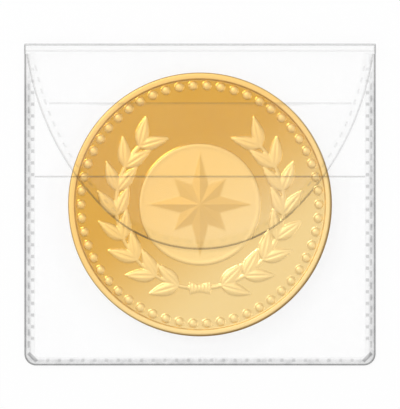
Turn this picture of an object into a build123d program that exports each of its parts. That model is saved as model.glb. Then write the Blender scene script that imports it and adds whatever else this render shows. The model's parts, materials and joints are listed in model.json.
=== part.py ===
from build123d import *
import os

os.makedirs("parts", exist_ok=True)

# Driving sizes in millimetres
# The flip lies on its back: X runs across, Y up to the fold and Z out of the front

# Coin
coin_diameter = 45.0
coin_thickness = 2.6
rim_width = 1.0
rim_slope = 0.25  # run of the rim's inner slope
field_drop = 0.35  # how far the field lies under the rim
edge_break = 0.2  # bevel between the rim and the milled edge
reed_count = 84
reed_depth = 0.18
bead_count = 54
bead_sides = 6
bead_diameter = 1.5
bead_height = 0.26
bead_taper = 25.0  # degrees
bead_gap = 0.2  # from the rim's slope to the beads
star_points = 8
star_long = 9.4  # centre to the long tips
star_short = 6.6  # centre to the short tips
star_waist = 3.9  # centre to the notches between tips
star_height = 0.25
ground_radius = 10.4  # raised round ground under the star
ground_height = 0.09
wreath_radius = 14.3
wreath_start = 6.0  # degrees from the bottom to the stem's foot
wreath_end = 142.0  # degrees from the bottom to the stem's top
stem_width = 0.45
stem_height = 0.16
leaf_pairs = 8
leaf_length = 5.4
leaf_width = 2.2
leaf_shoulder = 2.2  # foot to the widest place
leaf_height = 0.26
leaf_splay = 30.0  # degrees between a leaf and its stem
tie_length = 3.6
tie_width = 2.0
sink = 0.05  # how far raised work is let into the field

# Pouch
film = 0.2  # one sheet of vinyl
side_room = 7.5  # coin's edge to the pouch's side
bottom_room = 5.0  # coin's edge to the pouch's bottom
fold_room = 5.0  # coin's edge to the outside of the fold
corner_radius = 2.0
side_weld = 1.8  # width of the fused margin at each side
bottom_weld = 1.4  # width of the fused margin at the bottom
pocket_corner = 0.8  # inner corner of the fused margin
lip_width = 0.4  # raised bead along the outer edge
lip_rise = 0.15
mouth_drop = 22.6  # outside of the fold down to the pocket's mouth
panel_bend = 0.9  # inner radius where the front film bends over the coin
coin_float = 0.05  # film to coin, above and below
coin_play = 0.3  # film to coin, around the edge
layer_gap = 0.05  # shut flap to front film

# Flap
flap_drop = 35.2  # outside of the fold down to the flap's tip
flap_tip_radius = 23.0
flap_tip_sweep = 90.0  # degrees of the tip's arc
flap_root_inset = 0.4  # flap's root inside the pouch's side
flap_margin = 1.7  # width of the flap's fused margin
lining_drop = 10.1  # outside of the fold down to the lining's free edge

# Marks of the welding tool
mark_pitch = 2.0
mark_depth = 0.08
dash_length = 1.1
dash_width = 0.3
dash_row = 0.75  # from the pouch's side
dot_width = 0.5  # a small diamond, corner to corner
dot_row = 1.4  # from the pouch's side
bottom_dot_row = 0.9  # from the pouch's bottom
bar_length = 2.0  # slanted mark in each bottom corner
bar_width = 0.6
bar_inset = 1.4  # from the pouch's side and bottom
flap_dash_length = 0.9
flap_dash_row = 1.2  # from the flap's edge

# Derived places
coin_radius = coin_diameter / 2
half_width = coin_radius + side_room
half_height = (coin_diameter + bottom_room + fold_room) / 2
coin_y = bottom_room + coin_radius - half_height
coin_low = film + coin_float
coin_top = coin_low + coin_thickness
panel_low = coin_top + coin_float
panel_top = panel_low + film
lining_low = panel_top + layer_gap
lining_top = lining_low + film
flap_top = lining_top + film
fold_radius = flap_top / 2
hinge_y = half_height - fold_radius
hinge_z = fold_radius
mouth_y = half_height - mouth_drop
lining_y = half_height - lining_drop
flap_tip_y = half_height - flap_drop
flap_root_half = half_width - flap_root_inset
pocket_half = half_width - side_weld
pocket_low = bottom_weld - half_height
crown_half = coin_radius + coin_play
dish_half = coin_radius + bottom_room - bottom_weld
foot_half = dish_half - film


def u_outline(half, low, high, radius, mode=Mode.ADD):
    """Straight sides down from y = high, two round corners and a flat bottom at y = low."""
    with BuildLine() as outline:
        FilletPolyline((half, high), (half, low), (-half, low), (-half, high), radius=radius)
        Line((-half, high), (half, high))
    make_face(outline.edges(), mode=mode)


def flap_edge(inset):
    """The flap's curved edge, moved in by inset: a round tip with an arc up to each end of the root."""
    tip_middle = (0, flap_tip_y + flap_tip_radius)
    tip_start = 270 - flap_tip_sweep / 2
    root = flap_root_half - inset
    tip = CenterArc(tip_middle, flap_tip_radius - inset, tip_start, flap_tip_sweep)
    right = TangentArc(tip @ 1, (root, hinge_y), tangent=tip % 1)
    left = TangentArc(tip @ 0, (-root, hinge_y), tangent=-(tip % 0))
    return left, right


def flap_outline(inset, mode=Mode.ADD):
    """The face inside flap_edge, from the tip up to the fold."""
    with BuildLine() as outline:
        left, right = flap_edge(inset)
        Line(left @ 1, right @ 1)
    make_face(outline.edges(), mode=mode)


# Back sheet: flat film inside the pouch's fused margin
with BuildPart() as back_sheet:
    with BuildSketch():
        u_outline(pocket_half, pocket_low, hinge_y, pocket_corner)
    extrude(amount=film)

# Edge weld: fused margin with its raised lip and the marks of the welding tool
mark_run = hinge_y + half_height - corner_radius
mark_middle = (hinge_y - half_height + corner_radius) / 2
side_marks = int((mark_run - dash_length) / mark_pitch)
bottom_marks = int((2 * half_width - 2 * corner_radius - dash_length) / mark_pitch)
with BuildPart() as edge_weld:
    with BuildSketch():
        u_outline(half_width, -half_height, hinge_y, corner_radius)
        u_outline(pocket_half, pocket_low, hinge_y, pocket_corner, Mode.SUBTRACT)
    extrude(amount=2 * film)
    with BuildSketch(Plane.XY.offset(2 * film)):
        u_outline(half_width, -half_height, hinge_y, corner_radius)
        lip_corner = corner_radius - lip_width
        u_outline(half_width - lip_width, lip_width - half_height, hinge_y, lip_corner, Mode.SUBTRACT)
    extrude(amount=lip_rise)
    lip_edges = edge_weld.faces().sort_by(Axis.Z)[-1].edges()
    chamfer(lip_edges.filter_by(lambda edge: edge.center().Y < hinge_y - film), lip_rise / 2)
    with BuildSketch(Plane.XY.offset(2 * film)):
        with Locations((0, mark_middle)):
            with GridLocations(2 * (half_width - dash_row), mark_pitch, 2, side_marks):
                Rectangle(dash_width, dash_length)
            with GridLocations(2 * (half_width - dot_row), mark_pitch, 2, side_marks - 1):
                RegularPolygon(dot_width / 2, 4)
        with Locations((0, bottom_dot_row - half_height)):
            with GridLocations(mark_pitch, mark_pitch, bottom_marks, 1):
                RegularPolygon(dot_width / 2, 4)
        for side in (-1, 1):
            with Locations((side * (half_width - bar_inset), bar_inset - half_height)):
                Rectangle(bar_length, bar_width, rotation=side * 45)
    extrude(amount=-mark_depth, mode=Mode.SUBTRACT)

# Front panel: film flat on the back sheet at its edges, drawn up over the coin and open at the mouth
with BuildSketch(Plane.XZ.offset(-coin_y)) as panel_profile:
    with BuildLine():
        slope_top = (crown_half, panel_low)
        slope_foot = (foot_half, film)
        bends = (panel_bend, 0)
        FilletPolyline((0, panel_low), slope_top, slope_foot, (dish_half, film), radius=bends)
        offset(amount=film, side=Side.LEFT)
    make_face()
with BuildPart() as front_panel:
    with BuildSketch(Plane.XY.offset(film)):
        u_outline(pocket_half, pocket_low, hinge_y, pocket_corner)
        with Locations((0, coin_y)):
            Circle(dish_half, mode=Mode.SUBTRACT)
            above = (Align.CENTER, Align.MIN)
            Rectangle(2 * dish_half, hinge_y - coin_y, align=above, mode=Mode.SUBTRACT)
    extrude(amount=film)
    revolve(panel_profile.sketch, axis=Axis((0, coin_y, 0), (0, 0, -1)), revolution_arc=180)
    extrude(panel_profile.sketch, amount=coin_y - hinge_y)
    mirror(about=Plane.YZ)
    split(bisect_by=Plane.XZ.offset(-mouth_y), keep=Keep.TOP)

# Fold hinge: the film's half-round bend between the back sheet and the flap
with BuildPart() as fold_hinge:
    with BuildSketch(Plane.YZ):
        with BuildLine():
            outside = CenterArc((hinge_y, hinge_z), fold_radius, -90, 180)
            inside = CenterArc((hinge_y, hinge_z), fold_radius - film, -90, 180)
            Line(outside @ 0, inside @ 0)
            Line(outside @ 1, inside @ 1)
        make_face()
    extrude(amount=half_width, both=True)

# Flap sheet: flat film inside the flap's fused margin
with BuildPart() as flap_sheet:
    with BuildSketch(Plane.XY.offset(lining_top)):
        flap_outline(flap_margin)
    extrude(amount=film)

# Flap lining: second film under the flap, with a straight free edge
with BuildPart() as flap_lining:
    with BuildSketch(Plane.XY.offset(lining_low)):
        flap_outline(flap_margin)
        with Locations((0, lining_y)):
            Rectangle(2 * half_width, half_height, align=(Align.CENTER, Align.MIN), mode=Mode.SUBTRACT)
    extrude(amount=film)

# Flap weld: fused margin along the curved edge, with its row of pressed dashes
with BuildLine() as dash_path:
    flap_edge(flap_dash_row)
dash_wire = dash_path.wire()
flap_dashes = int((dash_wire.length - 2 * flap_dash_length) / mark_pitch)
with BuildPart() as flap_weld:
    with BuildSketch(Plane.XY.offset(lining_low)):
        flap_outline(0)
        flap_outline(flap_margin, Mode.SUBTRACT)
    extrude(amount=2 * film)
    with BuildSketch(Plane.XY.offset(flap_top)):
        for number in range(flap_dashes):
            share = 0.5 + (number - (flap_dashes - 1) / 2) * mark_pitch / dash_wire.length
            place = dash_wire.position_at(share)
            with Locations(Location((place.X, place.Y), dash_wire.tangent_angle_at(share))):
                Rectangle(flap_dash_length, dash_width)
    extrude(amount=-mark_depth, mode=Mode.SUBTRACT)

# Coin leaf: a low four-sided leaf with a midrib, lying along X, with a foot that is let into the field
with BuildPart() as leaf:
    with BuildSketch() as leaf_base:
        right_side = (leaf_shoulder, -leaf_width / 2)
        left_side = (leaf_shoulder, leaf_width / 2)
        Polygon((0, 0), right_side, (leaf_length, 0), left_side, align=None)
    extrude(amount=-sink)
    loft([leaf_base.sketch.face(), Vertex(leaf_shoulder, 0, leaf_height)], ruled=True)

# Coin star: long and short tips that rise to one point, with a foot like the leaf's
star_corners = []
for number in range(star_points):
    turn = 360 / star_points
    reach = star_short if number % 2 else star_long
    star_corners.append(Vector(reach, 0).rotate(Axis.Z, 90 + number * turn))
    star_corners.append(Vector(star_waist, 0).rotate(Axis.Z, 90 + (number + 0.5) * turn))
with BuildPart() as star:
    with BuildSketch() as star_base:
        Polygon(*[(corner.X, corner.Y) for corner in star_corners], align=None)
    extrude(amount=-sink)
    loft([star_base.sketch.face(), Vertex(0, 0, star_height)], ruled=True)

# Coin: struck disc with rims, beads, a wreath round a star on its ground, and a milled edge
rim_inside = coin_radius - rim_width - rim_slope
bead_circle = rim_inside - bead_gap - bead_diameter / 2
face_z = coin_top - field_drop
back_z = coin_low + field_drop
leaf_spots = []
for side in (-1, 1):
    for number in range(leaf_pairs):
        swing = wreath_start + (wreath_end - wreath_start) * (number + 0.5) / leaf_pairs
        stem_way = -90 + side * swing
        foot = Vector(wreath_radius, 0).rotate(Axis.Z, stem_way)
        for splay in (-leaf_splay, leaf_splay):
            leaf_way = stem_way + side * 90 + splay
            leaf_spots.append(Location((foot.X, foot.Y + coin_y, face_z), (0, 0, leaf_way)))
with BuildPart() as coin:
    with BuildSketch(Plane.XZ.offset(-coin_y)):
        with BuildLine():
            Polyline(
                (0, back_z),
                (rim_inside, back_z),
                (rim_inside + rim_slope, coin_low),
                (coin_radius - edge_break, coin_low),
                (coin_radius, coin_low + edge_break),
                (coin_radius, coin_top - edge_break),
                (coin_radius - edge_break, coin_top),
                (rim_inside + rim_slope, coin_top),
                (rim_inside, face_z),
                (0, face_z),
                close=True,
            )
        make_face()
    revolve(axis=Axis((0, coin_y, 0), (0, 0, 1)))
    with BuildSketch(Plane.XY.offset(face_z - sink)):
        with Locations((0, coin_y)):
            Circle(ground_radius)
    extrude(amount=ground_height + sink)
    with Locations((0, coin_y, face_z + ground_height)):
        add(star.part)
    with Locations(*leaf_spots):
        add(leaf.part)
    with BuildSketch(Plane.XY.offset(face_z - sink)):
        with Locations((0, coin_y)):
            for side in (-1, 1):
                with BuildLine(mode=Mode.PRIVATE) as stem:
                    stem_sweep = side * (wreath_end - wreath_start)
                    CenterArc((0, 0), wreath_radius, -90 + side * wreath_start, stem_sweep)
                trace(stem.line, stem_width)
        with Locations((0, coin_y - wreath_radius)):
            SlotOverall(tie_length, tie_width)
    extrude(amount=stem_height + sink)
    with BuildSketch(Plane.XY.offset(face_z - sink)):
        with Locations((0, coin_y)):
            with PolarLocations(bead_circle, bead_count):
                RegularPolygon(bead_diameter / 2, bead_sides)
    extrude(amount=bead_height + sink, taper=bead_taper)
    with BuildSketch(Plane.XY.offset(coin_low + edge_break)):
        with Locations((0, coin_y)):
            with PolarLocations(coin_radius, reed_count):
                RegularPolygon(reed_depth, 4)
    extrude(amount=coin_thickness - 2 * edge_break, mode=Mode.SUBTRACT)

pieces = {
    "back_sheet": back_sheet,
    "front_panel": front_panel,
    "edge_weld": edge_weld,
    "fold_hinge": fold_hinge,
    "flap_sheet": flap_sheet,
    "flap_lining": flap_lining,
    "flap_weld": flap_weld,
    "coin": coin,
}
for name, piece in pieces.items():
    piece.part.label = name
    export_step(piece.part, f"parts/{name}.step")
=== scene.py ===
import json
import math

import bmesh
import bpy
import numpy as np
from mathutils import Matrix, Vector


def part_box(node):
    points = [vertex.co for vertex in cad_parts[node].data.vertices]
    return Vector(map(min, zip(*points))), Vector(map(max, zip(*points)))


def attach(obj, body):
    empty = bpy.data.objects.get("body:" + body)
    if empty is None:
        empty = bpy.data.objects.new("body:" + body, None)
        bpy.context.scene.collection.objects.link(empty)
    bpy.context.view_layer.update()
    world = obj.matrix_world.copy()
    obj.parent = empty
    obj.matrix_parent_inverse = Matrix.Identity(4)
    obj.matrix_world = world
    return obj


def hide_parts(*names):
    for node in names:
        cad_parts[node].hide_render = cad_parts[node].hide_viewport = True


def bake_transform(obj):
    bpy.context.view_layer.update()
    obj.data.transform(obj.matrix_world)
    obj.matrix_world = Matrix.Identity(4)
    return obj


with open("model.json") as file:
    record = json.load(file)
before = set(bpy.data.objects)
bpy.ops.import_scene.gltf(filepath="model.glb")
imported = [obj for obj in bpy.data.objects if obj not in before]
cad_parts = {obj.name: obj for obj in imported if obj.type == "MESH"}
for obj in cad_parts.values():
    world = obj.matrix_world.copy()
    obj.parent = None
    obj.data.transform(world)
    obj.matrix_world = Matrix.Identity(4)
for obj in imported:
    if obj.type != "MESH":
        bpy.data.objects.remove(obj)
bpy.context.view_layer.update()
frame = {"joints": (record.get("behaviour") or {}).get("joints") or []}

# Sizes below are in millimetres; meshes are turned into metres as they are made
mm = 0.001


def corners_of(node):
    """A node's lowest and highest corner, in millimetres."""
    low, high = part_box(node)
    return np.array(low) / mm, np.array(high) / mm


# Sizes and places read from the frame
weld_low, weld_high = corners_of("edge_weld")
back_low, back_high = corners_of("back_sheet")
front_low, front_high = corners_of("front_panel")
fold_low, fold_high = corners_of("fold_hinge")
flap_low, flap_high = corners_of("flap_weld")
lining_low, lining_high = corners_of("flap_lining")
coin_low, coin_high = corners_of("coin")
hinge = next(joint for joint in frame["joints"] if joint["name"] == "flap_hinge")
hinge_y = hinge["pos_m"][1] / mm
hinge_z = hinge["pos_m"][2] / mm
film = back_high[2]
half_width = weld_high[0]
pouch_low = weld_low[1]
pocket_half = back_high[0]
pocket_low = back_low[1]
mouth_y = front_high[1]
crown_z = front_high[2] - film
lining_edge = lining_high[1]
flap_tip_y = flap_low[1]
flap_root_half = flap_high[0]
flap_under = flap_low[2]
flap_top = flap_high[2]
coin_radius = coin_high[0]
coin_y = (coin_low[1] + coin_high[1]) / 2

# Pouch
corner_radius = 2.0
pocket_corner = 0.8
crown_half = 22.3  # middle to where the front film leaves the coin
dish_half = 26.1  # middle to where it reaches the back film
seam_gap = 0.004  # keeps the faces of neighbouring films apart
lip_width = 0.4
edge_round = 0.1
edge_line = 0.36  # width of the grey line along a cut edge, which is painted shade
edge_thin = 0.35  # share of a film's thickness left at its cut edge

# Flap
flap_tip_radius = 23.0
flap_tip_sweep = 90.0  # degrees
flap_margin = 1.7
flap_droop = 0.25  # how far the flap hangs at its sides
fold_lean = 0.18  # makes the opened bend bulge away from the coin
crease_y = 26.2
tip_reach = 14.0  # from the tip to where the painted shadow on its edge line ends

# Marks of the welding tool
mark_pitch = 2.0
mark_depth = 0.08
mark_soft = 0.08
dash_length = 1.1
dash_width = 0.32
dash_row = 0.75
dot_width = 0.55
dot_row = 1.4
bottom_dot_row = 0.9
flap_dash_length = 0.9
flap_dash_row = 1.2
bar_length = 2.0  # slanted pressed groove in each bottom corner; its dark tone is a painted glint
bar_width = 0.6
bar_inset = 1.4
haze_width = 0.9  # from the pouch's edge to where the haze ends
haze_fade = 0.4
fade_low = 18.0  # the marks grow faint towards the fold
fade_high = 23.0
fade_loss = 0.65

# How strongly lines and marks show, as shares of the surface. The grey lines along cut edges are painted
# shade.
pouch_edge_tone = 0.345
mouth_tone = 0.16
lining_tone = 0.08
flap_edge_tone = 0.12
flap_tip_shadow_tone = 0.16  # painted shadow, added near the tip
fold_end_tone = 0.2
# Painted shade across the fold: along its crest and where it lies flat again.
crest_shade_tone = 0.18
crease_shade_tone = 0.06
dash_tone = 0.9
dot_tone = 1.2
low_dot_tone = 0.6
bar_glint_tone = 1.5
flap_dash_tone = 0.6
flap_dash_loss = 0.75  # near the tip
haze_loss = 0.8  # inside the haze's edge
flap_haze = 0.08

# Coin
rim_width = 1.0
rim_slope = 0.25
field_drop = 0.35
edge_break = 0.2
under_break = 0.4  # wider bevel below
reed_count = 84
reed_steps = 8
reed_depth = 0.18
bead_count = 54
bead_diameter = 1.5
bead_height = 0.3
bead_gap = 0.2
star_points = 8
star_long = 9.4
star_short = 6.6
star_waist = 3.9
star_height = 0.25
ground_radius = 10.4
ground_height = 0.09
ring_inset = 0.45  # fine raised line inside the ground's edge
ring_width = 0.4
ring_height = 0.07
wreath_radius = 14.3
wreath_start = 6.0  # degrees from the bottom
wreath_end = 142.0
stem_width = 0.45
stem_height = 0.16
leaf_pairs = 8
leaf_length = 5.4
leaf_width = 2.2
leaf_peak = 0.75  # below 1 moves the widest place towards the foot
leaf_height = 0.28
leaf_splay = 30.0
midrib_width = 0.14
midrib_depth = 0.45
tie_length = 3.6
tie_width = 2.0
tie_height = 0.2
tie_waves = 3  # bound turns on each half of the tie
painted_sheen_most = 0.92  # the face is duller and paler towards the lower right; the paling is a painted sheen
painted_sheen_way = (0.6, -0.8)
edge_grime = 0.6
edge_painted_shade = 0.35  # painted shade, added on the edge at the lower right
rim_foot_painted_shade = 0.32  # painted shade inside the rim at the upper left


def ease(low, high, value):
    """0 up to low, 1 from high on, and an even curve between."""
    share = np.clip((value - low) / (high - low), 0, 1)
    return share * share * (3 - 2 * share)


def steps(start, end, pitch):
    """Evenly spaced numbers from start to end, about pitch apart."""
    return np.linspace(start, end, 2 + int(abs(end - start) / pitch))


# Nodes of the finishes


class Output:
    """One output of a node. Arithmetic on it adds Math nodes."""

    def __init__(self, finish, socket):
        self.finish = finish
        self.socket = socket

    def math(self, operation, *values):
        return self.finish.node("ShaderNodeMath", {"operation": operation}, values)

    def __add__(self, other):
        return self.math("ADD", self, other)

    def __sub__(self, other):
        return self.math("SUBTRACT", self, other)

    def __rsub__(self, other):
        return self.math("SUBTRACT", other, self)

    def __mul__(self, other):
        return self.math("MULTIPLY", self, other)

    def __truediv__(self, other):
        return self.math("DIVIDE", self, other)

    def __pow__(self, other):
        return self.math("POWER", self, other)

    __radd__ = __add__
    __rmul__ = __mul__


class Finish:
    """The nodes of a material or of the world."""

    def __init__(self, owner):
        owner.use_nodes = True
        self.owner = owner
        self.tree = owner.node_tree
        self.tree.nodes.clear()

    def node(self, kind, settings=None, sockets=(), output=0):
        made = self.tree.nodes.new(kind)
        for name, value in (settings or {}).items():
            setattr(made, name, value)
        named = sockets.items() if isinstance(sockets, dict) else enumerate(sockets)
        for name, value in named:
            if isinstance(value, Output):
                self.tree.links.new(value.socket, made.inputs[name])
            else:
                made.inputs[name].default_value = value
        return Output(self, made.outputs[output]) if made.outputs else None

    def place(self):
        return self.node("ShaderNodeTexCoord", output="Object")

    def noise(self, size, detail=3.0):
        """Soft spots about size millimetres across."""
        sockets = {"Vector": self.place(), "Scale": 1 / (size * mm), "Detail": detail}
        return self.node("ShaderNodeTexNoise", {"noise_dimensions": "3D"}, sockets)

    def mask(self, name):
        return self.node("ShaderNodeAttribute", {"attribute_name": name}, output="Fac")

    def mix(self, share, first, second):
        sockets = {0: share, 6: first, 7: second}
        return self.node("ShaderNodeMix", {"data_type": "RGBA"}, sockets, output=2)

    def bump(self, height, depth, strength):
        """A normal from a height, where depth is in millimetres."""
        sockets = {"Height": height, "Distance": depth * mm, "Strength": strength}
        return self.node("ShaderNodeBump", None, sockets)

    def glancing(self):
        """0 where the surface is seen square on, rising to 1 where it is seen edge on."""
        return self.node("ShaderNodeLayerWeight", None, {"Blend": 0.5}, output="Facing") ** 5

    def toward(self, place, way):
        """The cosine between two directions."""
        return self.node("ShaderNodeVectorMath", {"operation": "DOT_PRODUCT"}, [place, way], output="Value")

    def see_through(self, share, surface):
        """Shows share of surface and lets the rest of the light pass."""
        clear = self.node("ShaderNodeBsdfTransparent")
        mixed = self.node("ShaderNodeMixShader", None, [share, clear, surface])
        self.node("ShaderNodeOutputMaterial", None, [mixed])
        return self.owner


# The dark grey of the painted shade and shadow lines on the films.
edge_grey = (0.05, 0.048, 0.045, 1)


def clear_film():
    """Clear vinyl: a thin gloss, faint smears, and painted shade along cut edges and across the fold."""
    finish = Finish(bpy.data.materials.new("clear_film"))
    smear = finish.noise(11.0)
    edge = finish.mask("edge")
    share = 0.006 + 0.012 * smear + finish.glancing() + edge
    ripple = finish.bump(finish.noise(14.0, 1.0), 0.25, 0.4)
    sockets = {
        "Base Color": finish.mix(edge / share, (0.95, 0.96, 0.97, 1), edge_grey),
        "Metallic": 0.5,
        "Roughness": 0.05 + 0.1 * smear,
        "Normal": ripple,
    }
    surface = finish.node("ShaderNodeBsdfPrincipled", None, sockets)
    return finish.see_through(share, surface)


def welded_film():
    """Vinyl fused by heat: hazy, with darker pressed marks, and a rolled lip whose dark line is painted
    shade.
    """
    finish = Finish(bpy.data.materials.new("welded_film"))
    cloud = finish.noise(1.3)
    edge = finish.mask("edge")
    mark = finish.mask("mark")
    haze = finish.mask("haze") * (0.07 + 0.4 * cloud**2)
    share = haze + 0.14 * mark + finish.glancing() + edge
    fused = finish.mix(mark, (0.36, 0.365, 0.375, 1), (0.12, 0.12, 0.125, 1))
    sockets = {
        "Base Color": finish.mix(edge / share, fused, edge_grey),
        "Metallic": 0.3,
        "Roughness": 0.18 + 0.2 * cloud,
        "Normal": finish.bump(finish.noise(0.5), 0.05, 0.3),
    }
    surface = finish.node("ShaderNodeBsdfPrincipled", None, sockets)
    return finish.see_through(share, surface)


def struck_gold():
    """Gold struck with a polished die: bright smooth field, pale frosted relief, a darker milled edge with
    painted shade, and a painted sheen towards the lower right.
    """
    finish = Finish(bpy.data.materials.new("struck_gold"))
    painted_sheen = finish.mask("painted_sheen")
    frosted = finish.mask("frosted")
    pale = painted_sheen.math("MAXIMUM", painted_sheen, frosted)
    tone = finish.noise(7.0)
    frost = finish.noise(0.22, 4.0)
    relief = finish.mix(painted_sheen, (0.955, 0.63, 0.21, 1), (0.96, 0.72, 0.33, 1))
    field = finish.mix(tone, (0.74, 0.385, 0.052, 1), (0.79, 0.435, 0.07, 1))
    face = finish.mix(pale, field, relief)
    sockets = {
        # Grime on the milled edge, with painted shade at the lower right and inside the rim at the upper
        # left.
        "Base Color": finish.mix(finish.mask("grime_and_shade"), face, (0.30, 0.17, 0.04, 1)),
        "Metallic": 1.0,
        "Roughness": 0.12 + 0.05 * tone + 0.08 * pale + (0.18 + 0.14 * frost) * frosted,
        "Normal": finish.bump(frost * frosted, 0.05, 0.5),
    }
    surface = finish.node("ShaderNodeBsdfPrincipled", None, sockets)
    finish.node("ShaderNodeOutputMaterial", None, [surface])
    return finish.owner


# Meshes


def piece(name, points, faces, masks, finish, node):
    """One closed piece from points in millimetres, which stands for a node of the frame."""
    mesh = bpy.data.meshes.new(name)
    mesh.from_pydata((points * mm).tolist(), [], faces)
    for mask, values in masks.items():
        attribute = mesh.attributes.new(mask, "FLOAT", "POINT")
        attribute.data.foreach_set("value", np.ascontiguousarray(values, np.float32))
    work = bmesh.new()
    work.from_mesh(mesh)
    bmesh.ops.remove_doubles(work, verts=work.verts, dist=0.0005 * mm)
    bmesh.ops.recalc_face_normals(work, faces=work.faces)
    work.to_mesh(mesh)
    work.free()
    mesh.shade_smooth()
    mesh.set_sharp_from_angle(angle=math.radians(50))
    mesh.materials.append(finish)
    made = bpy.data.objects.new(name, mesh)
    bpy.context.scene.collection.objects.link(made)
    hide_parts(node)
    return made


def grid_faces(rows, columns, first=0):
    """The four-sided faces of a grid of points that are numbered row by row."""
    corner = first + (np.arange(rows - 1)[:, None] * columns + np.arange(columns - 1)).ravel()
    return np.column_stack([corner, corner + 1, corner + columns + 1, corner + columns])


def shell(name, upper, lower, masks, finish, node):
    """A closed thin piece between two grids of points, with a wall round their borders."""
    rows, columns = upper.shape[:2]
    count = rows * columns
    number = np.arange(count).reshape(rows, columns)
    border = np.concatenate([number[0], number[1:, -1], number[-1, -2::-1], number[-2::-1, 0]])
    walls = np.column_stack([border[:-1], border[1:], border[1:] + count, border[:-1] + count])
    faces = np.vstack([grid_faces(rows, columns), grid_faces(rows, columns, count), walls])
    points = np.vstack([upper.reshape(-1, 3), lower.reshape(-1, 3)])
    doubled = {mask: np.tile(values.ravel(), 2) for mask, values in masks.items()}
    return piece(name, points, faces.tolist(), doubled, finish, node)


def lifted(spread, heights):
    """A grid of places with heights as its third coordinate."""
    return np.dstack([spread, np.broadcast_to(heights, spread.shape[:2])])


def pouch_line(half, low, corner):
    """Down the left side from the fold, round both bottom corners and up the right side."""
    top = hinge_y - seam_gap
    run = steps(0, 1, 0.15 / (top - pouch_low))
    left = np.column_stack([np.full(len(run), -half), top + run * (low + corner - top)])
    turn = np.radians(np.linspace(180, 270, 14))
    bend = corner * np.column_stack([np.cos(turn), np.sin(turn)]) + (corner - half, low + corner)
    across = np.linspace(corner - half, 0, 180)
    bottom = np.column_stack([across, np.full(len(across), low)])
    line = np.vstack([left[:-1], bend[:-1], bottom])
    return np.vstack([line[:-1], line[::-1] * (-1, 1)])


def flap_line(inset):
    """The flap's curved edge from its left root round the tip to its right root, moved in by inset."""
    half_sweep = math.radians(flap_tip_sweep / 2)
    radius = flap_tip_radius - inset
    turn = np.linspace(0, half_sweep, 120)
    middle = np.array([0, flap_tip_y + flap_tip_radius])
    tip = middle + radius * np.column_stack([np.sin(turn), -np.cos(turn)])
    inward = np.array([-math.sin(half_sweep), math.cos(half_sweep)])
    root = np.array([flap_root_half - inset, hinge_y - seam_gap])
    chord = root - tip[-1]
    bend = chord @ chord / (2 * chord @ inward)
    centre = tip[-1] + bend * inward
    first, last = (math.atan2(*(end - centre)[::-1]) for end in (tip[-1], root))
    turn = np.linspace(first, last, 200)
    side = centre + bend * np.column_stack([np.cos(turn), np.sin(turn)])
    right = np.vstack([tip[:-1], side])
    return np.vstack([right[:0:-1] * (-1, 1), right])


def band_shares(count):
    """Steps across a fused margin, closer together at its outer edge."""
    return np.concatenate([[0, 0.02, 0.05, 0.1, 0.16, 0.22], np.linspace(0.28, 1, count)])


def ribbon(outer, inner, shares):
    """A grid of places from one line across to another."""
    return outer[:, None] + shares[:, None] * (inner - outer)[:, None]


def pressed(spread, spots, length, width):
    """How far each place lies inside a mark, from 0 to 1. A spot is a mark's place and way."""
    depth = np.zeros(spread.shape[:2])
    for place, way in spots:
        away = spread - place
        along = np.abs(away @ way)
        across = np.abs(away @ (-way[1], way[0]))
        inside = ease(length / 2 + mark_soft, length / 2 - mark_soft, along)
        inside = inside * ease(width / 2 + mark_soft, width / 2 - mark_soft, across)
        depth = np.maximum(depth, inside)
    return depth


def edge_shape(away):
    """Half the thickness left at a distance from a cut edge, as a share: rounded over."""
    inside = np.clip(away / edge_round, 0, 1)
    return edge_thin + (1 - edge_thin) * np.sqrt(1 - (1 - inside) ** 2)


def cut_line(away, strength):
    """The grey line along a cut edge: painted shade."""
    return strength * ease(edge_line, edge_line * 0.6, away)


# Pieces


def pocket_grid(high, pitch):
    """Places inside the pouch's fused margin, up to a straight edge at high."""
    half = pocket_half - seam_gap
    corner = half - pocket_corner
    turn = np.radians(np.linspace(90, 0, 16))
    bends = corner + pocket_corner * np.cos(turn)
    across = np.concatenate([steps(0, corner, pitch)[:-1], bends])
    across = np.concatenate([-across[:0:-1], across])
    over = np.clip(np.abs(across) - corner, 0, pocket_corner)
    low = pocket_low + seam_gap + pocket_corner - np.sqrt(pocket_corner**2 - over**2)
    rise = steps(0, 1, pitch / (high - pocket_low))
    rise = np.concatenate([rise[:-1], 1 - np.array([edge_line, edge_round, 0]) / (high - pocket_low)])
    heights = low + np.sort(rise)[:, None] * (high - low)
    return np.dstack([np.broadcast_to(across, heights.shape), heights])


def back_film(finish):
    """The flat film that the pouch lies on."""
    spread = pocket_grid(hinge_y - seam_gap, 1.5)
    masks = {"edge": np.zeros(spread.shape[:2])}
    upper = lifted(spread, film)
    lower = lifted(spread, 0)
    made = shell("back_film", upper, lower, masks, finish, "back_sheet")
    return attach(made, "pouch")


def front_film(finish):
    """The film drawn up over the coin, flat round it and open at the mouth."""
    spread = pocket_grid(mouth_y, 0.3)
    across, up = spread[..., 0], spread[..., 1] - coin_y
    away = np.where(up < 0, np.hypot(across, up), np.abs(across))
    fall = np.clip((away - crown_half) / (dish_half - crown_half), 0, 1)
    under = film + (crown_z - film) * (1 - ease(0, 1, fall))
    slope = 6 * fall * (1 - fall) * (crown_z - film) / (dish_half - crown_half)
    thick = film * np.sqrt(1 + slope**2)
    to_mouth = mouth_y - spread[..., 1]
    spare = thick / 2 * (1 - edge_shape(to_mouth))
    # The grey line along the mouth's edge is painted shade.
    masks = {"edge": cut_line(to_mouth, mouth_tone)}
    upper = lifted(spread, under + thick - spare)
    lower = lifted(spread, under + spare + seam_gap)
    made = shell("front_film", upper, lower, masks, finish, "front_panel")
    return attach(made, "pouch")


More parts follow.
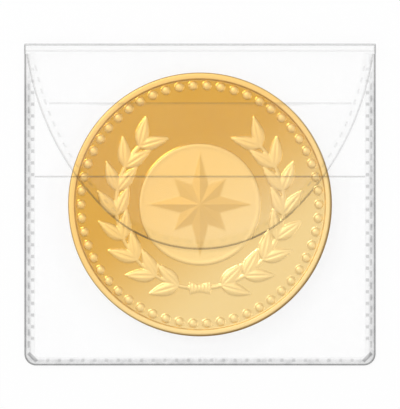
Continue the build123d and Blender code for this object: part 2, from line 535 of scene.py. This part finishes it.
def pouch_weld(finish):
    """The fused margin round three sides, with a rolled lip and rows of dashes and dots."""
    outer = pouch_line(half_width, pouch_low, corner_radius)
    inner = pouch_line(pocket_half, pocket_low, pocket_corner)
    spread = ribbon(outer, inner, band_shares(14))
    away = np.linalg.norm(spread - outer[:, None], axis=2)
    middle = (hinge_y + pouch_low + corner_radius) / 2
    run = hinge_y - pouch_low - corner_radius
    upright = np.array([0.0, 1.0])
    side_count = int((run - dash_length) / mark_pitch)
    bottom_count = int((2 * (half_width - corner_radius) - dash_length) / mark_pitch)
    dashes = row_of_marks(half_width - dash_row, middle, side_count, upright)
    dots = row_of_marks(half_width - dot_row, middle, side_count - 1, upright)
    low_row = pouch_low + bottom_dot_row
    places = (np.arange(bottom_count) - (bottom_count - 1) / 2) * mark_pitch
    low_dots = [(np.array([place, low_row]), upright) for place in places]
    dash = pressed(spread, dashes, dash_length, dash_width)
    dot = pressed(spread, dots, dot_width, dot_width)
    low_dot = pressed(spread, low_dots, dot_width, dot_width)
    # A slanted groove in each bottom corner, whose dark tone is a painted glint.
    bar_x, bar_y = half_width - bar_inset, pouch_low + bar_inset
    slant = math.sqrt(0.5)
    slants = [(np.array([side * bar_x, bar_y]), np.array([side * slant, slant])) for side in (-1, 1)]
    bar = pressed(spread, slants, bar_length, bar_width)
    fade = 1 - fade_loss * ease(fade_low, fade_high, spread[..., 1])
    pit = mark_depth * np.maximum.reduce([dash, dot, 0.5 * low_dot, bar])
    marks = [dash_tone * dash, dot_tone * dot, low_dot_tone * low_dot, bar_glint_tone * bar]
    bead = np.sin(np.pi * np.clip(away / lip_width, 0, 1))
    trim = film * (1 - edge_shape(away))
    upper = lifted(spread, 2 * film + (weld_high[2] - 2 * film) * bead - pit - trim)
    lower = lifted(spread, trim)
    masks = {
        # The grey line along the pouch's outer edge is painted shade.
        "edge": cut_line(away, pouch_edge_tone),
        "mark": np.maximum.reduce(marks) * fade,
        "haze": fade * (1 - haze_loss * ease(haze_width, haze_width + haze_fade, away)),
    }
    made = shell("pouch_weld", upper, lower, masks, finish, "edge_weld")
    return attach(made, "pouch")


def row_of_marks(side, middle, count, way):
    """The same upright row of spots on both sides of the pouch."""
    heights = middle + (np.arange(count) - (count - 1) / 2) * mark_pitch
    return [(np.array([across, height]), way) for across in (-side, side) for height in heights]


def fold_film(finish):
    """The half-round bend."""
    ends = np.array([0, edge_round, edge_line])
    across = np.concatenate([steps(0, half_width - 0.5, 1.0), half_width - ends[::-1]])
    across = np.concatenate([-across[:0:-1], across])
    gap_turn = seam_gap / (fold_high[1] - hinge_y)
    turn = np.linspace(gap_turn, np.pi - gap_turn, 64)
    away = half_width - np.abs(across)
    trim = film / 2 * (1 - edge_shape(away))
    outer = fold_high[1] - hinge_y - trim
    inner = fold_high[1] - hinge_y - film + trim

    def bend(radius):
        rolled_y = hinge_y + np.sin(turn)[:, None] * radius
        rolled_z = hinge_z - np.cos(turn)[:, None] * radius
        return np.dstack([np.broadcast_to(across, rolled_y.shape), rolled_y, rolled_z])

    # The grey band along the bend's crest, the line where the film lies flat again and the grey at the
    # bend's cut ends are painted shade.
    crest_shade = crest_shade_tone * ease(0.6, 0.42, np.abs(turn - np.pi / 2))
    flat_turn = np.pi - math.asin((crease_y - hinge_y) / (fold_high[1] - hinge_y))
    crease_shade = crease_shade_tone * ease(0.12, 0.05, np.abs(turn - flat_turn))
    masks = {"edge": np.maximum(np.maximum(crest_shade, crease_shade)[:, None], cut_line(away, fold_end_tone))}
    return shell("fold_film", bend(outer), bend(inner), masks, finish, "fold_hinge")


def droop(spread):
    """How far the flap hangs below its flat place, out beyond the coin."""
    across, up = spread[..., 0], spread[..., 1]
    beyond = np.maximum(np.abs(across), np.hypot(across, up - coin_y))
    return flap_droop * ease(coin_radius, flap_root_half, beyond) * ease(hinge_y, coin_radius, up)


def flap_grid(high):
    """Places inside the flap's fused margin, up to a straight edge at high."""
    line = flap_line(flap_margin)[::4]
    line = line[line[:, 1] < high]
    reach = np.abs(line[:, 0]).max()
    line = np.vstack([[-reach, high], line, [reach, high]])
    line = line * (1 - seam_gap / reach, 1)
    depth = high - flap_tip_y
    rise = steps(0, 1 - edge_line / depth, 0.6 / depth)
    rise = np.concatenate([rise, 1 - np.array([edge_round, 0]) / depth])
    heights = line[:, 1] + rise[:, None] * (high - line[:, 1])
    return np.dstack([np.broadcast_to(line[:, 0], heights.shape), heights])


def flap_film(finish):
    """The flap's own film, the end of the film that makes the back."""
    spread = flap_grid(hinge_y - seam_gap)
    hang = droop(spread)
    masks = {"edge": np.zeros(spread.shape[:2])}
    upper = lifted(spread, flap_top - hang)
    lower = lifted(spread, flap_top - film + seam_gap - hang)
    made = shell("flap_film", upper, lower, masks, finish, "flap_sheet")
    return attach(made, "flap")


def lining_film(finish):
    """The second film under the flap, with a straight free edge."""
    spread = flap_grid(lining_edge)
    hang = droop(spread)
    to_edge = lining_edge - spread[..., 1]
    trim = film / 2 * (1 - edge_shape(to_edge))
    # The grey line along the lining's free edge is painted shade.
    masks = {"edge": cut_line(to_edge, lining_tone)}
    upper = lifted(spread, flap_under + film - trim - hang)
    lower = lifted(spread, flap_under + trim - hang)
    made = shell("lining_film", upper, lower, masks, finish, "flap_lining")
    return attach(made, "flap")


def flap_weld(finish):
    """The fused margin along the flap's curved edge, with its row of dashes."""
    outer = flap_line(0)
    spread = ribbon(outer, flap_line(flap_margin), band_shares(12))
    away = np.linalg.norm(spread - outer[:, None], axis=2)
    row = flap_line(flap_dash_row)
    leg = np.diff(row, axis=0)
    run = np.concatenate([[0], np.cumsum(np.linalg.norm(leg, axis=1))])
    count = int((run[-1] - 2 * flap_dash_length) / mark_pitch)
    along = run[-1] / 2 + (np.arange(count) - (count - 1) / 2) * mark_pitch
    number = np.searchsorted(run, along) - 1
    way = leg[number] / np.linalg.norm(leg[number], axis=1)[:, None]
    place = row[number] + (along - run[number])[:, None] * way
    dash = pressed(spread, list(zip(place, way)), flap_dash_length, dash_width)
    trim = film * (1 - edge_shape(away))
    hang = droop(spread)
    upper = lifted(spread, flap_top - mark_depth * dash - trim - hang)
    lower = lifted(spread, flap_under + trim - hang)
    near_tip = ease(flap_tip_y + tip_reach, flap_tip_y, spread[..., 1])
    masks = {
        # Near the tip the edge line darkens: a painted shadow.
        "edge": cut_line(away, flap_edge_tone + flap_tip_shadow_tone * near_tip),
        "mark": flap_dash_tone * dash * (1 - flap_dash_loss * near_tip),
        "haze": np.full(away.shape, flap_haze),
    }
    made = shell("flap_weld_band", upper, lower, masks, finish, "flap_weld")
    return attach(made, "flap")


# Coin


def star_relief(across, up):
    """An eight-pointed star with a ridge along each point and a valley between points."""
    turn = 2 * np.pi / star_points
    way = np.arctan2(up, across) - np.pi / 2
    point = np.round(way / turn)
    aside = np.abs(way - point * turn)
    radius = np.hypot(across, up)
    tip = np.where(point.astype(int) % 2 == 0, star_long, star_short)
    notch_x, notch_y = star_waist * math.cos(turn / 2), star_waist * math.sin(turn / 2)
    inside = (tip - radius * np.cos(aside)) * notch_y - radius * np.sin(aside) * (tip - notch_x)
    return star_height * np.clip(inside / (tip * notch_y), 0, 1)


def leaf_relief(across, up, foot, way):
    """One leaf: a low dome between two curved edges, with a groove along its midrib."""
    along = ((across - foot[0]) * math.cos(way) + (up - foot[1]) * math.sin(way)) / leaf_length
    aside = (up - foot[1]) * math.cos(way) - (across - foot[0]) * math.sin(way)
    shape = np.sin(np.pi * np.clip(along, 0, 1) ** leaf_peak)
    half = leaf_width / 2 * shape + 1e-6
    dome = np.clip(1 - (aside / half) ** 2, 0, 1) ** 0.6
    groove = 1 - midrib_depth * np.exp(-((aside / midrib_width) ** 2))
    return leaf_height * dome * groove * (0.55 + 0.45 * shape)


def wreath_relief(across, up):
    """Two leafy stems that rise from a tie at the bottom."""
    radius = np.hypot(across, up)
    swing = np.degrees(np.abs(np.arctan2(across, -up)))
    round_stem = np.clip(1 - ((radius - wreath_radius) / (stem_width / 2)) ** 2, 0, 1) ** 0.5
    height = stem_height * round_stem * ((swing > wreath_start) & (swing < wreath_end))
    for side in (-1, 1):
        for number in range(leaf_pairs):
            swing = wreath_start + (wreath_end - wreath_start) * (number + 0.5) / leaf_pairs
            stem_way = math.radians(-90 + side * swing)
            foot = (wreath_radius * math.cos(stem_way), wreath_radius * math.sin(stem_way))
            for splay in (-leaf_splay, leaf_splay):
                leaf_way = stem_way + math.radians(side * 90 + splay)
                height = np.maximum(height, leaf_relief(across, up, foot, leaf_way))
    from_tie = np.abs(across) / (tie_length / 2)
    tie_half = tie_width / 2 * (0.6 + 0.4 * np.clip(from_tie, 0, 1))
    band = np.clip(1 - ((up + wreath_radius) / tie_half) ** 2, 0, 1) ** 0.5
    bound = 0.8 + 0.2 * np.cos(2 * np.pi * tie_waves * from_tie)
    tie = tie_height * band * bound * (from_tie < 1)
    return np.maximum(height, tie)


def bead_relief(across, up, circle):
    """A ring of round beads."""
    turn = 2 * np.pi / bead_count
    way = np.arctan2(up, across)
    aside = way - np.round(way / turn) * turn
    radius = np.hypot(across, up)
    away = np.hypot(radius * np.cos(aside) - circle, radius * np.sin(aside))
    return bead_height * np.clip(1 - (away / (bead_diameter / 2)) ** 2, 0, 1) ** 0.5


def coin(finish):
    """A struck disc: rim, beads, wreath and star on the face, a plain back and a milled edge."""
    rim_inside = coin_radius - rim_width - rim_slope
    rim_top = rim_inside + rim_slope
    rim_out = coin_radius - edge_break
    bead_circle = rim_inside - bead_gap - bead_diameter / 2
    bead_low = bead_circle - bead_diameter
    low, top = coin_low[2], coin_high[2]
    face, back = top - field_drop, low + field_drop
    flat = np.concatenate([
        steps(0.12, ground_radius - 0.12, 0.26),
        steps(ground_radius, bead_low, 0.19),
        steps(bead_low + 0.1, rim_inside - 0.02, 0.1),
    ])
    front = [(radius, face) for radius in flat]
    front += [(rim_inside, face), (rim_inside + 0.06, face + 0.05), (rim_top - 0.06, top - 0.05)]
    front += [(rim_top + 0.02, top - 0.01), (rim_top + 0.1, top)]
    front += [(rim_out - 0.3, top), (rim_out - 0.1, top)]
    edge = [(rim_out, top - 0.02), (coin_radius - 0.08, top - 0.08), (coin_radius, top - edge_break)]
    edge += [(coin_radius, top - 2 * edge_break), (coin_radius, low + edge_break + under_break)]
    edge += [(coin_radius, low + under_break), (coin_radius - 0.1, low + 0.16)]
    edge += [(coin_radius - under_break, low)]
    behind = [(rim_top, low), (rim_inside, back), (0.7 * coin_radius, back), (0.3 * coin_radius, back)]
    profile = np.array(front + edge + behind)
    count = reed_count * reed_steps
    way = np.arange(count) * 2 * np.pi / count
    radius, height = (np.repeat(column[:, None], count, axis=1) for column in profile.T)
    side = np.zeros(len(profile))
    first = len(front)
    side[first + 3 : first + 5] = 1
    groove = 0.5 + 0.5 * np.cos(way * reed_count)
    radius = radius - reed_depth * side[:, None] * groove
    across, up = radius * np.cos(way), radius * np.sin(way)
    on_face = (np.arange(len(profile)) < len(flat))[:, None]
    from_ring = (radius - ground_radius + ring_inset) / (ring_width / 2)
    ring = ring_height * np.clip(1 - from_ring**2, 0, 1)
    ground = ground_height * ease(ground_radius, ground_radius - 0.1, radius)
    star = star_relief(across, up)
    relief = np.maximum.reduce([
        ground + ring + star,
        wreath_relief(across, up),
        bead_relief(across, up, bead_circle),
    ]) * on_face
    rim = ease(rim_inside - 0.1, rim_inside + 0.03, radius)
    frosted = np.maximum(ease(0.01, 0.05, relief) - 0.5 * ease(0.0, 0.03, star), rim)
    # Painted shade: the edge darkens more, and further in, towards the lower right, and the rim's foot
    # darkens at the upper left.
    shaded_side = ease(-0.3, 0.9, (across - up) / (coin_radius * math.sqrt(2)))
    from_middle = radius + reed_depth * side[:, None] * groove
    on_edge = ease(rim_out - 0.25 * shaded_side, coin_radius - 0.05 - 0.15 * shaded_side, from_middle)
    in_foot = ease(0.25, 0.1, np.abs(radius - rim_inside - 0.1))
    grime_and_shade = np.maximum((edge_grime + edge_painted_shade * shaded_side) * on_edge, rim_foot_painted_shade * (1 - shaded_side) * in_foot)
    points = np.dstack([across, up + coin_y, height + relief]).reshape(-1, 3)
    poles = np.array([[0, coin_y, face + ground_height + star_height], [0, coin_y, back]])
    points = np.vstack([points, poles])
    rings = len(profile)
    number = np.arange(rings * count).reshape(rings, count)
    number = np.column_stack([number, number[:, 0]])
    quads = np.dstack([number[:-1, :-1], number[:-1, 1:], number[1:, 1:], number[1:, :-1]])
    faces = quads.reshape(-1, 4).tolist()
    for pole, ring in ((rings * count, number[0]), (rings * count + 1, number[-1])):
        faces += [[pole, first_point, next_point] for first_point, next_point in zip(ring[:-1], ring[1:])]
    # A painted sheen: the face grows paler towards the lower right.
    lower_right = (points[:, :2] - (0, coin_y)) @ painted_sheen_way / coin_radius
    masks = {
        "painted_sheen": painted_sheen_most * ease(-0.4, 0.7, lower_right),
        "frosted": np.concatenate([frosted.ravel(), [1, 0]]),
        "grime_and_shade": np.concatenate([grime_and_shade.ravel(), [0, 0]]),
    }
    made = piece("struck_coin", points, faces, masks, finish, "coin")
    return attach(made, "coin")


# Stage

photo_width = 400
photo_height = 409
width_share = 0.88  # of the picture's width that the pouch takes
lens = 800.0
sensor = 36.0
floor_radius = 4.0  # metres
floor_drop = 0.02
floor_glow = 0.85  # share of the floor that is plain white to the eye
sky_even = 0.9
sky_key = 0.2  # added towards the top left
sky_top = 0.2  # added overhead


def camera():
    """Straight above the flip, with the fold at the top of the picture."""
    made = bpy.data.objects.new("camera", bpy.data.cameras.new("camera"))
    bpy.context.scene.collection.objects.link(made)
    made.data.lens = lens
    made.data.sensor_width = sensor
    picture_height = 2 * half_width / width_share * photo_height / photo_width
    middle_y = (pouch_low + fold_high[1]) / 2
    made.location = Vector((0, middle_y, flap_top + picture_height * lens / sensor)) * mm
    made.data.clip_start = 0.01
    made.data.clip_end = 20
    bpy.context.scene.camera = made


def floor():
    """A wide white floor that keeps a soft shadow."""
    made = bmesh.new()
    bmesh.ops.create_circle(made, cap_ends=True, segments=96, radius=floor_radius)
    mesh = bpy.data.meshes.new("floor")
    made.to_mesh(mesh)
    made.free()
    finish = Finish(bpy.data.materials.new("floor_white"))
    path = finish.node("ShaderNodeLightPath")
    seen = [Output(finish, path.socket.node.outputs[name]) for name in
            ("Is Camera Ray", "Is Glossy Ray", "Is Transmission Ray")]
    lit = finish.node("ShaderNodeBsdfDiffuse", None, {"Color": (0.95, 0.95, 0.95, 1)})
    white = finish.node("ShaderNodeEmission", None, {"Color": (1, 1, 1, 1), "Strength": 1.0})
    share = floor_glow * (seen[0] + seen[1] + seen[2])
    mixed = finish.node("ShaderNodeMixShader", None, [share, lit, white])
    finish.node("ShaderNodeOutputMaterial", None, [mixed])
    mesh.materials.append(finish.owner)
    plane = bpy.data.objects.new("floor", mesh)
    plane.location.z = -floor_drop * mm
    bpy.context.scene.collection.objects.link(plane)


def lamp(name, place, size, power):
    """A square soft lamp that faces the middle of the flip. Place and size are in metres."""
    light = bpy.data.lights.new(name, "AREA")
    light.size = size
    light.energy = power
    made = bpy.data.objects.new(name, light)
    made.location = place
    made.rotation_euler = (-Vector(place)).to_track_quat("-Z", "Y").to_euler()
    bpy.context.scene.collection.objects.link(made)


def studio():
    """Soft light from all round, brighter overhead and towards the top left, where the key lamp is."""
    world = bpy.data.worlds.new("studio")
    bpy.context.scene.world = world
    finish = Finish(world)
    way = finish.node("ShaderNodeTexCoord", output="Generated")
    top_left = Vector((-0.6, 0.6, 0.5)).normalized()
    rise = finish.toward(way, (0, 0, 1))
    overhead = rise.math("MAXIMUM", rise, 0) ** 8
    strength = sky_even + sky_key * finish.toward(way, top_left) + sky_top * overhead
    sky = finish.node("ShaderNodeBackground", None, {"Strength": strength})
    finish.node("ShaderNodeOutputWorld", None, [sky])
    lamp("key", place=(-0.20, 0.24, 0.49), size=0.18, power=0.65)
    lamp("fill", place=(0.40, -0.12, 0.40), size=0.40, power=0.3)


def scene_settings():
    """Plain colours, and enough bounces to see through all the films."""
    scene = bpy.context.scene
    scene.view_settings.view_transform = "Standard"
    scene.cycles.transparent_max_bounces = 48


clear = clear_film()
welded = welded_film()
back_film(clear)
front_film(clear)
pouch_weld(welded)
fold = fold_film(clear)
turn_reach = hinge_z / (fold_lean**2 + 0.25)
fold_start = Vector((0, hinge_y, 0)) * mm
fold_end = fold_start + Vector((0, -fold_lean, 0.5)) * turn_reach * mm
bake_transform(fold)
flap_film(clear)
lining_film(clear)
flap_weld(welded)
coin(struck_gold())
camera()
floor()
studio()
scene_settings()
